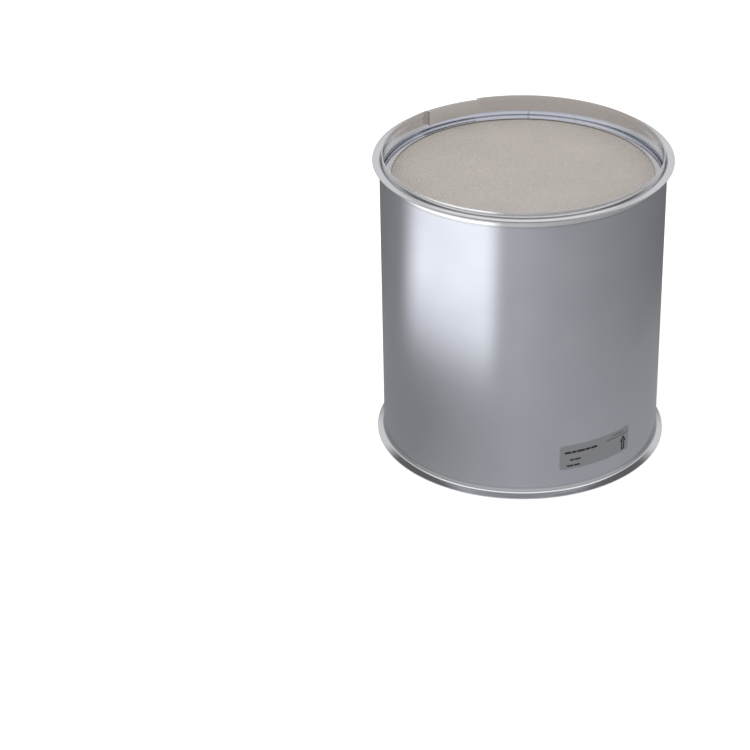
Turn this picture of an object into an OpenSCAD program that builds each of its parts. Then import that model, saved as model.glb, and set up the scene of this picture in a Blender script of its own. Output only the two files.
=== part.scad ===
// Flanged exhaust filter canister: a ceramic wall-flow filter, wrapped in a fibre mat
// and held in a rolled stainless shell with a V-band flange at each end.
// Millimetres, +Z up along the exhaust flow, origin at the centre of the inlet flange face.
// Everything is built outwards from the ceramic filter.

/* [Filter] */
// Diameter of the ceramic filter over its skin
filter_d = 304.8; // [150:0.1:400]
// Length of the ceramic filter between its two faces
filter_length = 304; // [120:1:500]
// Thickness of the cement skin round the honeycomb
skin_t = 1.5; // [0.5:0.1:4]
// Depth of the plugs in the channel ends
plug_depth = 10; // [4:0.5:20]

/* [Shell] */
// Thickness of the support mat between filter and shell
mat_t = 5.6; // [4:0.1:10]
// Thickness of the shell sheet
shell_wall = 2; // [1:0.1:4]
// Width of the weld along the shell's seam
seam_w = 2; // [1:0.5:6]
// Direction of the shell's seam round the axis, in degrees
seam_angle = 68; // [50:1:100]

/* [Flanges] */
// Distance from a flange face down to the ceramic
face_depth = 20.9; // [17:0.1:40]
// How far a flange stands out beyond the shell
flange_lip = 7.8; // [5:0.1:14]
// Thickness of a flange at its outer edge
flange_edge = 1.2; // [0.8:0.1:3]
// Slope of a flange's back, in degrees
flange_slope = 20; // [12:1:30]
// Radius of the fillet between a flange's back and the shell
flange_fillet = 3; // [1.5:0.1:4]
// Radius of the round into a flange's mouth
mouth_r = 3; // [1.5:0.1:4]
// Length of the neck from the back fillet to the weld
neck = 3; // [2:0.5:6]
// Width of the weld between a flange and the shell
girth_weld_w = 2; // [1:0.5:4]

/* [Retaining rings] */
// How far a retaining ring reaches in over the filter's face
ring_overlap = 5.2; // [3:0.1:9]
// Thickness of a retaining ring's sheet
ring_t = 0.8; // [0.5:0.1:1.2]
// Clearance between a retaining ring and the filter's face
ring_gap = 1.2; // [0.3:0.1:1.8]
// Distance from a retaining ring's edge back to the mesh seal behind it
seal_setback = 2.3; // [1:0.1:2.8]
// Outer radius of a retaining ring's bend
ring_bend_r = 3.4; // [2:0.1:4]
// Height of a retaining ring, from its face to the end of its leg
ring_height = 8; // [6:0.5:14]
// Width of the weld that closes a retaining ring
ring_joint_w = 1.6; // [1:0.1:4]
// Direction of that weld round the axis, in degrees
ring_joint_angle = 88; // [70:1:105]

/* [Pilot ring] */
// Thickness of the pilot ring's strip
pilot_t = 1.5; // [1:0.1:4]
// How far the pilot ring stands out beyond the outlet flange
pilot_out = 6.1; // [3:0.1:10]
// How far the pilot ring reaches down inside the outlet
pilot_in = 13; // [8:0.1:14]
// How much the ring is drawn in where it stands out, so that it slips into its mate
pilot_relief = 0.6; // [0.2:0.1:1.5]
// How far the ring is pressed in over its pocket
pocket_depth = 4.4; // [3:0.1:6]
// How far the pocket reaches down inside the outlet
pocket_in = 11.5; // [6:0.1:13]
// Angle that the pocket spans, in degrees
pocket_span = 26.5; // [5:0.1:60]
// Direction of the middle of the pocket, in degrees
pocket_angle = 122.8; // [90:0.1:150]

/* [Index lugs] */
// Width of a lug along the wall
lug_w = 7; // [4:0.5:14]
// How far a lug stands in from the wall
lug_h = 3.5; // [2:0.1:6]
// Length of a lug along the axis
lug_len = 5; // [3:0.5:8]
// Distance from the inlet face to a lug
lug_depth = 3.5; // [3:0.5:6]
// Direction of the first lug; the other is opposite
lug_angle = -22.6; // [-90:0.1:90]

/* [Label] */
// Width of the label round the shell
label_w = 94; // [40:1:120]
// Height of the label
label_h = 31; // [15:1:50]
// Thickness of the label foil
label_t = 0.15; // [0.1:0.05:0.5]
// Radius of the label's corners
label_corner = 3; // [1:0.5:6]
// Height of the label's lower edge above the inlet face
label_z = 30; // [20:1:60]
// Direction of the middle of the label, in degrees
label_angle = -56.5; // [-120:0.5:0]

/* [Hidden] */
$fn = 180;

STEEL = [0.72, 0.73, 0.75];
BRIGHT_STEEL = [0.82, 0.83, 0.85];
WELD = [0.55, 0.54, 0.53];
CERAMIC = [0.71, 0.68, 0.65];
PLUG = [0.76, 0.73, 0.69];
FIBRE = [0.93, 0.92, 0.88];
WIRE = [0.5, 0.5, 0.5];
FOIL = [0.55, 0.56, 0.58];

filter_r = filter_d / 2;
bore_r = filter_r + mat_t;
shell_r = bore_r + shell_wall;
flange_r = shell_r + flange_lip;
unit_length = filter_length + 2 * face_depth;

// Back of a flange: where its cone and its fillet meet the cylinder
fillet_r_pos = shell_r + flange_fillet;
fillet_z = flange_edge + (flange_r - fillet_r_pos) * tan(flange_slope)
    + flange_fillet / cos(flange_slope);
weld_z = fillet_z + neck;
shell_z = weld_z + girth_weld_w;

// Retaining ring, as distances from the flange face
ring_r = filter_r - ring_overlap;
ring_z = face_depth - ring_gap - ring_t;
ring_under = ring_z + ring_t;
ring_end = ring_z + ring_height;
leg_r = bore_r - ring_t;
bend_r_pos = bore_r - ring_bend_r;
bend_z = ring_z + ring_bend_r;
seal_r = ring_r + seal_setback;

core_r = filter_r - skin_t;
pilot_r = bore_r - pilot_relief;
pocket_r = pilot_r - pocket_depth;

// Angle that a length of arc spans at a radius, in degrees
function arc_angle(len, r) = len / r * 180 / PI;

// Points of an arc in the profile plane, both ends included
function arc(c, r, from, to, steps = 8) =
    [for (i = [0:steps]) let (a = from + (to - from) * i / steps) c + r * [cos(a), sin(a)]];

// A body of revolution that spans an angle, centred on a direction
module sector(span, direction) {
    rotate([0, 0, direction - span / 2]) rotate_extrude(angle = span) children();
}

// A tube between two radii and two heights
module tube(r_in, r_out, z_low, z_high) {
    rotate_extrude() translate([r_in, z_low]) square([r_out - r_in, z_high - z_low]);
}

// Turns a piece that is drawn at the inlet end round to the outlet end
module at_outlet() {
    translate([0, 0, unit_length]) mirror([0, 0, 1]) children();
}

// The flange's flat face is at height 0 and its neck points up
module flange_profile() {
    polygon(concat(
        [[bore_r, weld_z]],
        arc([bore_r + mouth_r, mouth_r], mouth_r, 180, 270),
        [[flange_r, 0], [flange_r, flange_edge]],
        arc([fillet_r_pos, fillet_z], flange_fillet, 270 - flange_slope, 180),
        [[shell_r, weld_z]]
    ));
}

module flange() { rotate_extrude() flange_profile(); }

module flange_weld() { tube(bore_r, shell_r, weld_z, shell_z); }

// The ring's flat covers the filter's edge and its leg follows the shell's wall
module ring_profile() {
    polygon(concat(
        [[ring_r, ring_z]],
        arc([bend_r_pos, bend_z], ring_bend_r, 270, 360),
        [[bore_r, ring_end], [leg_r, ring_end]],
        arc([bend_r_pos, bend_z], ring_bend_r - ring_t, 360, 270),
        [[ring_r, ring_under]]
    ));
}

module retaining_ring() {
    sector(360 - arc_angle(ring_joint_w, bore_r), ring_joint_angle + 180) ring_profile();
}

module ring_joint_weld() {
    sector(arc_angle(ring_joint_w, bore_r), ring_joint_angle) ring_profile();
}

// Knitted wire packed over the filter's edge, between the ring, the filter and the mat
module mesh_seal() {
    rotate_extrude() polygon(concat(
        [[seal_r, face_depth], [seal_r, ring_under]],
        arc([bend_r_pos, bend_z], ring_bend_r - ring_t, 270, 360),
        [[leg_r, ring_end], [filter_r, ring_end], [filter_r, face_depth]]
    ));
}

module plug_layer() {
    color(PLUG) translate([0, 0, face_depth]) cylinder(r = core_r, h = plug_depth);
}

module shell() {
    color(STEEL)
    sector(360 - arc_angle(seam_w, shell_r), seam_angle + 180)
        translate([bore_r, shell_z]) square([shell_wall, unit_length - 2 * shell_z]);
}

module shell_seam_weld() {
    color(WELD)
    sector(arc_angle(seam_w, shell_r), seam_angle)
        translate([bore_r, shell_z]) square([shell_wall, unit_length - 2 * shell_z]);
}

module inlet_flange() { color(BRIGHT_STEEL) flange(); }

module outlet_flange() { color(BRIGHT_STEEL) at_outlet() flange(); }

module inlet_flange_weld() { color(WELD) flange_weld(); }

module outlet_flange_weld() { color(WELD) at_outlet() flange_weld(); }

// A strip welded into the outlet's mouth and drawn in where it stands out. Over one stretch
// it is pressed in further and forms a pocket, open to the top, that clears a lug of its mate
module outlet_pilot_ring() {
    outer = [
        [bore_r, unit_length - pilot_in], [bore_r, unit_length - mouth_r],
        [pilot_r, unit_length], [pilot_r, unit_length + pilot_out]
    ];
    inner = [for (i = [len(outer) - 1:-1:0]) outer[i] - [pilot_t, 0]];
    side = arc_angle(pilot_t, pilot_r);
    pocket_height = pocket_in + pilot_out;
    // The pocket's sides end within the strip, half their thickness past its ends
    color(BRIGHT_STEEL) union() {
        sector(360 - pocket_span + side, pocket_angle + 180) polygon(concat(outer, inner));
        difference() {
            sector(pocket_span, pocket_angle)
                translate([pocket_r - pilot_t, unit_length - pocket_in])
                    square([pocket_depth + pilot_t / 2, pocket_height]);
            sector(pocket_span - 2 * side, pocket_angle)
                translate([pocket_r, unit_length - pocket_in - 1])
                    square([2 * pocket_depth, pocket_height + 2]);
        }
    }
}

// Two blocks on the inlet's wall, which set the canister's turn and direction
module inlet_index_lugs() {
    color(BRIGHT_STEEL)
    for (turn = [0, 180])
        sector(arc_angle(lug_w, bore_r), lug_angle + turn)
            translate([bore_r - lug_h, lug_depth]) square([lug_h, lug_len]);
}

module inlet_retaining_ring() { color(BRIGHT_STEEL) retaining_ring(); }

module outlet_retaining_ring() { color(BRIGHT_STEEL) at_outlet() retaining_ring(); }

module inlet_ring_joint_weld() { color(WELD) ring_joint_weld(); }

module outlet_ring_joint_weld() { color(WELD) at_outlet() ring_joint_weld(); }

module inlet_mesh_seal() { color(WIRE) mesh_seal(); }

module outlet_mesh_seal() { color(WIRE) at_outlet() mesh_seal(); }

module support_mat() {
    color(FIBRE) tube(filter_r, bore_r, ring_end, unit_length - ring_end);
}

// The honeycomb is drawn as a solid, because its channels are too fine and too many
module filter_core() {
    color(CERAMIC)
    translate([0, 0, face_depth + plug_depth])
        cylinder(r = core_r, h = filter_length - 2 * plug_depth);
}

module filter_skin() {
    color(CERAMIC) tube(core_r, filter_r, face_depth, face_depth + filter_length);
}

module inlet_plugs() { plug_layer(); }

module outlet_plugs() { at_outlet() plug_layer(); }

module rounded_rectangle(w, h, r) {
    x = w / 2 - r;
    y = h / 2 - r;
    polygon(concat(
        arc([x, y], r, 0, 90), arc([-x, y], r, 90, 180),
        arc([-x, -y], r, 180, 270), arc([x, -y], r, 270, 360)
    ));
}

// A thin foil wrapped on the shell, cut to a rounded outline
module id_label() {
    label_chord = 2 * shell_r * sin(arc_angle(label_w, shell_r) / 2);
    color(FOIL)
    intersection() {
        tube(shell_r, shell_r + label_t, label_z - label_corner, label_z + label_h + label_corner);
        rotate([0, 0, label_angle])
            translate([shell_r / 2, 0, label_z + label_h / 2])
                rotate([90, 0, 90]) linear_extrude(shell_r)
                    rounded_rectangle(label_chord, label_h, label_corner);
    }
}

shell();
shell_seam_weld();
inlet_flange();
outlet_flange();
inlet_flange_weld();
outlet_flange_weld();
outlet_pilot_ring();
inlet_index_lugs();
inlet_retaining_ring();
outlet_retaining_ring();
inlet_ring_joint_weld();
outlet_ring_joint_weld();
inlet_mesh_seal();
outlet_mesh_seal();
support_mat();
filter_core();
filter_skin();
inlet_plugs();
outlet_plugs();
id_label();
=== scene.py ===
"""Studio scene of a flanged exhaust filter canister.

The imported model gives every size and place. Each sub-assembly of the real canister is a class
here: it reads its sizes from the frame, builds its pieces and gives them their finish. All
lengths are in metres and all colours start as sRGB hex values.
"""

from __future__ import annotations

import logging
import math
from collections.abc import Sequence
from dataclasses import dataclass
from enum import Enum
from typing import Any

import bmesh
import bpy
from mathutils import Euler, Matrix, Vector


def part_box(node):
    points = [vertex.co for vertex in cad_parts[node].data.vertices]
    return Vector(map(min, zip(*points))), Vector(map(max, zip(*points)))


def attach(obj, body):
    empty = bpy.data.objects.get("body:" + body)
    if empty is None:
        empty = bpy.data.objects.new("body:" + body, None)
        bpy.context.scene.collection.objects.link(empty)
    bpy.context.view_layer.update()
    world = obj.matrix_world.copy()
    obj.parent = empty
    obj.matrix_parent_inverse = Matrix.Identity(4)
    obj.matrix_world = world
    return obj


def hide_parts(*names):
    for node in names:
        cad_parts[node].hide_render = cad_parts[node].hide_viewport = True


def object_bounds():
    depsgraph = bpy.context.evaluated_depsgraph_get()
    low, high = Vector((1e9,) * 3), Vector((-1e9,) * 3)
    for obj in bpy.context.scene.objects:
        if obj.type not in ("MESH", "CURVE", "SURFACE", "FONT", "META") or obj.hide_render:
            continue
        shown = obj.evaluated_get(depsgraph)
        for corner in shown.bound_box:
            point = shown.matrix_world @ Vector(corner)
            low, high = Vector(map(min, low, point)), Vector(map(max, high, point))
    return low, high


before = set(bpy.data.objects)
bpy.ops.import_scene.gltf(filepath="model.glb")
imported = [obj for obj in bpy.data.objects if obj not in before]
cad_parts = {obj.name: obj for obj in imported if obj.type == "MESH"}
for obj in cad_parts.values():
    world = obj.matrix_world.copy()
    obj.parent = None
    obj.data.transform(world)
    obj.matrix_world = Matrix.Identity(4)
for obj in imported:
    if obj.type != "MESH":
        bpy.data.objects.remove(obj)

LOG = logging.getLogger("canister")
CAD_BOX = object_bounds()
BODY = "root"
MM = 0.001
# Points this close count as being at the same place
NEAR = 0.05 * MM
FULL_TURN = math.tau
# Steps in a full turn, for a plain ring, for the long wall and for a piece that spans a little
RING_SEGMENTS = 288
WALL_SEGMENTS = 384
FINE_SEGMENTS = 1440

Point = tuple[float, float]


class End(Enum):
    """The two ends of the canister."""

    INLET = "inlet"
    OUTLET = "outlet"


class Slot(Enum):
    """Material slots of the record."""

    SHELL = "satin_stainless"
    FORMED = "bright_stainless"
    WELD = "planished_weld"
    WIRE = "knitted_wire"
    MAT = "fibre_mat"
    CERAMIC = "cordierite"
    SKIN = "cement_skin"
    FOIL = "label_foil"


# ---------------------------------------------------------------------------
# Colour and node helpers


def linear(hex_colour: str) -> tuple[float, float, float, float]:
    """Turn an sRGB hex colour into the linear values that a shader takes.

    Args:
        hex_colour: six hex digits, with or without a leading hash.

    Returns:
        Linear red, green and blue, and an alpha of one.
    """
    digits = hex_colour.lstrip("#")
    values = [int(digits[i:i + 2], 16) / 255 for i in (0, 2, 4)]
    red, green, blue = (
        v / 12.92 if v <= 0.04045 else ((v + 0.055) / 1.055) ** 2.4 for v in values
    )
    return red, green, blue, 1.0


def add_node(
    tree: bpy.types.NodeTree,
    kind: str,
    inputs: dict[int | str, Any] | None = None,
    **settings: Any,
) -> bpy.types.Node:
    """Add one node, set its properties and feed its inputs.

    Args:
        tree: the tree that gets the node.
        kind: the node's type identifier.
        inputs: for each input socket, by number or name, a value or an output socket.
        settings: properties of the node itself.

    Returns:
        The new node.
    """
    node = tree.nodes.new(kind)
    for name, value in settings.items():
        setattr(node, name, value)
    for key, value in (inputs or {}).items():
        socket = node.inputs[key]
        if isinstance(value, bpy.types.NodeSocket):
            tree.links.new(value, socket)
        else:
            socket.default_value = value
    return node


def shade_ramp(
    tree: bpy.types.NodeTree,
    factor: bpy.types.NodeSocket,
    stops: Sequence[tuple[float, str]],
) -> bpy.types.NodeSocket:
    """Map a factor to colours.

    Args:
        tree: the material's tree.
        factor: the socket that drives the ramp.
        stops: place and hex colour of each stop, in order.

    Returns:
        The ramp's colour socket.
    """
    node = add_node(tree, "ShaderNodeValToRGB", {0: factor})
    elements = node.color_ramp.elements
    while len(elements) < len(stops):
        elements.new(1.0)
    for element, (place, colour) in zip(elements, stops):
        element.position = place
        element.color = linear(colour)
    return node.outputs[0]


def level_ramp(
    tree: bpy.types.NodeTree,
    value: bpy.types.NodeSocket,
    stops: Sequence[Point],
) -> bpy.types.NodeSocket:
    """Map a value to a level that may pass one.

    Args:
        tree: the tree that gets the nodes.
        value: the socket that drives the ramp.
        stops: value and level of each stop, in order.

    Returns:
        The level's socket.
    """
    low, high = stops[0][0], stops[-1][0]
    top = max(level for _, level in stops)
    share = add_node(tree, "ShaderNodeMapRange", {0: value, 1: low, 2: high, 3: 0.0, 4: 1.0})
    node = add_node(tree, "ShaderNodeValToRGB", {0: share.outputs[0]})
    elements = node.color_ramp.elements
    for i, (place, level) in enumerate(stops):
        if i in (0, len(stops) - 1):
            element = elements[0 if i == 0 else -1]
        else:
            element = elements.new((place - low) / (high - low))
        element.color = (level / top, level / top, level / top, 1.0)
    scaled = add_node(tree, "ShaderNodeMath", {0: node.outputs[0], 1: top}, operation="MULTIPLY")
    return scaled.outputs[0]


# ---------------------------------------------------------------------------
# Finishes


@dataclass(frozen=True)
class Finish:
    """What every finish shares: its name and how it starts and ends its tree."""

    name: str

    def material(self) -> bpy.types.Material:
        """Return the finish's material, built once and then shared."""
        found = bpy.data.materials.get(self.name)
        if found:
            return found
        made = bpy.data.materials.new(self.name)
        made.use_nodes = True
        tree = made.node_tree
        tree.nodes.clear()
        output = add_node(tree, "ShaderNodeOutputMaterial")
        tree.links.new(self.surface(tree), output.inputs["Surface"])
        return made

    def surface(self, tree: bpy.types.NodeTree) -> bpy.types.NodeSocket:
        """Build the finish's nodes and return the shader's output socket."""
        raise NotImplementedError


@dataclass(frozen=True)
class SteelFinish(Finish):
    """Stainless steel whose grain runs round the axis.

    The steel reads the piece's "turned" map: along the arc in U and along the section in V,
    both in metres, so that the grain is equally wide on every piece.
    """

    colour: str
    stain: str
    roughness: float
    roughness_swing: float
    grain_width: float
    grain_length: float
    grain_depth: float

    def surface(self, tree: bpy.types.NodeTree) -> bpy.types.NodeSocket:
        """Grain lines, a slow change of tone and a slightly uneven gloss."""
        turned = add_node(tree, "ShaderNodeUVMap", uv_map="turned").outputs[0]
        place = add_node(tree, "ShaderNodeTexCoord").outputs["Object"]
        stretch = (1 / self.grain_length, 1 / self.grain_width, 1.0)
        along = add_node(
            tree, "ShaderNodeVectorMath", {0: turned, 1: stretch}, operation="MULTIPLY"
        )
        grain = add_node(
            tree, "ShaderNodeTexNoise", {"Vector": along.outputs[0], "Scale": 1.0, "Detail": 3.0}
        )
        # Handling and rolling leave clouds about 60 mm across
        cloud = add_node(
            tree, "ShaderNodeTexNoise", {"Vector": place, "Scale": 1 / (60 * MM), "Detail": 2.0}
        )
        tone = add_node(
            tree,
            "ShaderNodeMapRange",
            {0: cloud.outputs[0], 1: 0.3, 2: 0.7, 3: 0.0, 4: 1.0},
        )
        colour = add_node(
            tree,
            "ShaderNodeMix",
            {0: tone.outputs[0], 6: linear(self.colour), 7: linear(self.stain)},
            data_type="RGBA",
        )
        mixed = add_node(
            tree,
            "ShaderNodeMath",
            {0: grain.outputs[0], 1: 0.6, 2: cloud.outputs[0]},
            operation="MULTIPLY_ADD",
        )
        rough = add_node(
            tree,
            "ShaderNodeMapRange",
            {
                0: mixed.outputs[0],
                1: 0.5,
                2: 1.1,
                3: self.roughness - self.roughness_swing,
                4: self.roughness + self.roughness_swing,
            },
        )
        bump = add_node(
            tree,
            "ShaderNodeBump",
            {"Height": grain.outputs[0], "Distance": self.grain_depth, "Strength": 1.0},
        )
        shader = add_node(
            tree,
            "ShaderNodeBsdfPrincipled",
            {
                "Base Color": colour.outputs[2],
                "Metallic": 1.0,
                "Roughness": rough.outputs[0],
                "Normal": bump.outputs[0],
            },
        )
        return shader.outputs[0]


@dataclass(frozen=True)
class CeramicFinish(Finish):
    """Fired cordierite: matt, beige grey, with a grain of fine pores."""

    light: str
    dark: str
    pore: float
    pore_depth: float

    def surface(self, tree: bpy.types.NodeTree) -> bpy.types.NodeSocket:
        """Pores, and a slow mottle from firing."""
        place = add_node(tree, "ShaderNodeTexCoord").outputs["Object"]
        pores = add_node(
            tree, "ShaderNodeTexNoise", {"Vector": place, "Scale": 1 / self.pore, "Detail": 4.0}
        )
        mottle = add_node(
            tree, "ShaderNodeTexNoise", {"Vector": place, "Scale": 1 / (45 * MM), "Detail": 3.0}
        )
        mix = add_node(
            tree,
            "ShaderNodeMath",
            {0: mottle.outputs[0], 1: 0.15, 2: pores.outputs[0]},
            operation="MULTIPLY_ADD",
        )
        spread = add_node(
            tree, "ShaderNodeMapRange", {0: mix.outputs[0], 1: 0.35, 2: 0.8, 3: 0.0, 4: 1.0}
        )
        colour = shade_ramp(tree, spread.outputs[0], ((0.0, self.dark), (1.0, self.light)))
        bump = add_node(
            tree,
            "ShaderNodeBump",
            {"Height": pores.outputs[0], "Distance": self.pore_depth, "Strength": 1.0},
        )
        shader = add_node(
            tree,
            "ShaderNodeBsdfPrincipled",
            {"Base Color": colour, "Roughness": 0.92, "Normal": bump.outputs[0]},
        )
        return shader.outputs[0]


@dataclass(frozen=True)
class KnitFinish(Finish):
    """Knitted wire: dull loops, with painted shade in the spaces between them."""

    wire: str
    gap_shade: str
    loop: float

    def surface(self, tree: bpy.types.NodeTree) -> bpy.types.NodeSocket:
        """Loops drawn as cells, each with a raised middle and painted shade towards its edge."""
        place = add_node(tree, "ShaderNodeTexCoord").outputs["Object"]
        cells = add_node(tree, "ShaderNodeTexVoronoi", {"Vector": place, "Scale": 1 / self.loop})
        # Painted shade: the colour darkens from each loop's middle into the spaces between the loops
        colour = shade_ramp(tree, cells.outputs["Distance"], ((0.25, self.wire), (0.6, self.gap_shade)))
        bump = add_node(
            tree,
            "ShaderNodeBump",
            {"Height": cells.outputs["Distance"], "Distance": -0.2 * MM, "Strength": 1.0},
        )
        shader = add_node(
            tree,
            "ShaderNodeBsdfPrincipled",
            {"Base Color": colour, "Metallic": 1.0, "Roughness": 0.45, "Normal": bump.outputs[0]},
        )
        return shader.outputs[0]


@dataclass(frozen=True)
class FibreFinish(Finish):
    """Pressed ceramic fibre: off-white and matt, with short strands lying every way."""

    light: str
    dark: str
    strand: float

    def surface(self, tree: bpy.types.NodeTree) -> bpy.types.NodeSocket:
        """Strands drawn as stretched noise, broken by a second one across it."""
        place = add_node(tree, "ShaderNodeTexCoord").outputs["Object"]
        fibres = []
        for stretch in ((0.15, 1.0, 1.0), (1.0, 1.0, 0.15)):
            run = add_node(
                tree, "ShaderNodeVectorMath", {0: place, 1: stretch}, operation="MULTIPLY"
            )
            noise = add_node(
                tree,
                "ShaderNodeTexNoise",
                {"Vector": run.outputs[0], "Scale": 1 / self.strand, "Detail": 2.0},
            )
            fibres.append(noise.outputs[0])
        height = add_node(
            tree, "ShaderNodeMath", {0: fibres[0], 1: fibres[1]}, operation="MAXIMUM"
        )
        colour = shade_ramp(tree, height.outputs[0], ((0.35, self.dark), (0.7, self.light)))
        bump = add_node(
            tree,
            "ShaderNodeBump",
            {"Height": height.outputs[0], "Distance": 0.3 * MM, "Strength": 1.0},
        )
        shader = add_node(
            tree,
            "ShaderNodeBsdfPrincipled",
            {"Base Color": colour, "Roughness": 1.0, "Normal": bump.outputs[0]},
        )
        return shader.outputs[0]


@dataclass(frozen=True)
class FoilFinish(Finish):
    """Anodised aluminium foil: grey and satin, with a very fine speckle."""

    colour: str
    worn: str
    roughness: float

    def surface(self, tree: bpy.types.NodeTree) -> bpy.types.NodeSocket:
        """A fine speckle from the anodised layer, in tone and in height."""
        place = add_node(tree, "ShaderNodeTexCoord").outputs["Object"]
        speckle = add_node(
            tree, "ShaderNodeTexNoise", {"Vector": place, "Scale": 1 / (0.8 * MM), "Detail": 2.0}
        )
        colour = shade_ramp(
            tree, speckle.outputs[0], ((0.35, self.colour), (0.65, self.worn))
        )
        bump = add_node(
            tree,
            "ShaderNodeBump",
            {"Height": speckle.outputs[0], "Distance": 0.01 * MM, "Strength": 0.6},
        )
        shader = add_node(
            tree,
            "ShaderNodeBsdfPrincipled",
            {
                "Base Color": colour,
                "Metallic": 0.3,
                "Roughness": self.roughness,
                "Normal": bump.outputs[0],
            },
        )
        return shader.outputs[0]


@dataclass(frozen=True)
class InkFinish(Finish):
    """Printed epoxy ink: near black, a little thin where the screen left it."""

    colour: str
    thin: str

    def surface(self, tree: bpy.types.NodeTree) -> bpy.types.NodeSocket:
        """Ink that varies a little in cover."""
        place = add_node(tree, "ShaderNodeTexCoord").outputs["Object"]
        cover = add_node(
            tree, "ShaderNodeTexNoise", {"Vector": place, "Scale": 1 / (0.6 * MM), "Detail": 2.0}
        )
        colour = shade_ramp(tree, cover.outputs[0], ((0.4, self.colour), (0.75, self.thin)))
        shader = add_node(
            tree, "ShaderNodeBsdfPrincipled", {"Base Color": colour, "Roughness": 0.55}
        )
        return shader.outputs[0]


# Patterns too fine to show are drawn coarser than the real ones, as coarse as they need to be:
# the steel's grain, the ceramic's pores, the mat's strands and the specks of foil and ink

# Cold-rolled ferritic stainless, satin finished: a soft, slightly blue mirror
SATIN_STAINLESS = SteelFinish(
    "stainless_satin_rolled", "#d3d6dd", "#cfd2da", 0.22, 0.02, 0.5 * MM, 60 * MM, 0.0012 * MM,
)
# The same steel spun and pressed to shape: brighter and smoother than the sheet
FORMED_STAINLESS = SteelFinish(
    "stainless_spun_bright", "#ebecee", "#e6e7ea", 0.13, 0.02, 0.4 * MM, 90 * MM, 0.001 * MM,
)
# Strip stainless as it comes off the coil: nearly the same tone, but a softer mirror
STRIP_STAINLESS = SteelFinish(
    "stainless_strip_coil", "#ecebeb", "#e7e6e6", 0.18, 0.03, 0.4 * MM, 90 * MM, 0.001 * MM,
)
# Weld rolled flat after cooling: a little duller, with the last of a straw heat tint
PLANISHED_WELD = SteelFinish(
    "stainless_weld_planished", "#cccfd5", "#c9c9ca", 0.26, 0.03, 0.9 * MM, 4 * MM, 0.003 * MM,
)
# Knitted stainless wire, annealed dark and pressed into a rope; the second, near-black colour is
# painted shade in the spaces between the loops
WIRE = KnitFinish("stainless_wire_knitted", "#6d6d70", "#2f3032", 0.9 * MM)
# Cordierite: magnesium alumina silicate, fired to a beige grey
CORDIERITE = CeramicFinish("cordierite_fired", "#c0b9b4", "#a09a95", 1.2 * MM, 0.08 * MM)
# The cement skin is the same ceramic, coarser and a little lighter
CEMENT_SKIN = CeramicFinish("cordierite_cement_skin", "#cfc7be", "#b3a99f", 2.0 * MM, 0.3 * MM)
# Needled ceramic fibre: chalky white, with strands that catch no light
FIBRE_MAT = FibreFinish("ceramic_fibre_mat", "#f2efe6", "#cfc9bb", 1.2 * MM)
# Anodised aluminium foil: a flat mid grey that hardly mirrors
LABEL_FOIL = FoilFinish("anodised_label_foil", "#818285", "#7a7b7f", 0.5)
# Screen-printed epoxy ink: near black, with a low sheen
LABEL_INK = InkFinish("epoxy_label_ink", "#0c0c0d", "#1a1a1c")


# ---------------------------------------------------------------------------
# Mesh helpers


def rounded(corners: Sequence[tuple[float, float, float]], steps: int = 8) -> list[Point]:
    """Round the corners of a closed outline.

    Args:
        corners: radius from the axis, height and rounding radius of each corner, in order.
        steps: how many straight stretches make one quarter turn.

    Returns:
        The outline's points, each round drawn as an arc.
    """
    points: list[Point] = []
    count = len(corners)
    for i, (x, y, round_r) in enumerate(corners):
        here = Vector((x, y))
        before = (Vector(corners[i - 1][:2]) - here).normalized()
        after = (Vector(corners[(i + 1) % count][:2]) - here).normalized()
        half = before.angle(after) / 2
        if round_r <= 0 or abs(half - math.pi / 2) < 1e-4:
            points.append((x, y))
            continue
        centre = here + (before + after).normalized() * round_r / math.sin(half)
        first = here + before * round_r / math.tan(half) - centre
        last = here + after * round_r / math.tan(half) - centre
        turn = math.atan2(first.cross(last), first.dot(last))
        pieces = max(2, round(steps * abs(turn) / (math.pi / 2)))
        for k in range(pieces + 1):
            ray = Matrix.Rotation(turn * k / pieces, 2) @ first
            points.append((centre.x + ray.x, centre.y + ray.y))
    return points


def turned_mesh(
    name: str,
    outline: Sequence[Point],
    start: float = 0.0,
    span: float = FULL_TURN,
    segments: int = RING_SEGMENTS,
) -> bpy.types.Object:
    """Turn a closed outline round the axis, with end faces where it isn't a full ring.

    Args:
        name: the new object's name.
        outline: points as radius and height, in either sense.
        start: direction of the first section, in radians.
        span: angle that the piece covers, in radians.
        segments: how many steps a full turn would have.

    Returns:
        A closed mesh object with its "turned" map in metres.
    """
    area = sum(
        a[0] * b[1] - b[0] * a[1] for a, b in zip(outline, [*outline[1:], outline[0]])
    )
    points = list(outline) if area > 0 else list(reversed(outline))
    ring = abs(span - FULL_TURN) < 1e-6
    steps = max(2, round(segments * span / FULL_TURN))
    sections = steps if ring else steps + 1
    along = [0.0]
    for a, b in zip(points, [*points[1:], points[0]]):
        along.append(along[-1] + math.dist(a, b))
    mean_r = sum(p[0] for p in points) / len(points)

    mesh = bmesh.new()
    turned = mesh.loops.layers.uv.new("turned")
    rows = []
    for j in range(sections):
        angle = start + span * j / steps
        rows.append([
            mesh.verts.new((r * math.cos(angle), r * math.sin(angle), z)) for r, z in points
        ])
    count = len(points)
    for j in range(steps):
        low, high = rows[j], rows[(j + 1) % sections]
        for i in range(count):
            k = (i + 1) % count
            face = mesh.faces.new((low[i], high[i], high[k], low[k]))
            for loop, (u, v) in zip(
                face.loops, ((j, along[i]), (j + 1, along[i]), (j + 1, along[i + 1]), (j, along[i + 1]))
            ):
                loop[turned].uv = (mean_r * span * u / steps, v)
    if not ring:
        for row, sense in ((rows[0], 1), (rows[-1], -1)):
            face = mesh.faces.new(row[::sense])
            for loop in face.loops:
                loop[turned].uv = (loop.vert.co.xy.length, loop.vert.co.z)
    return finished(name, mesh)


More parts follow.
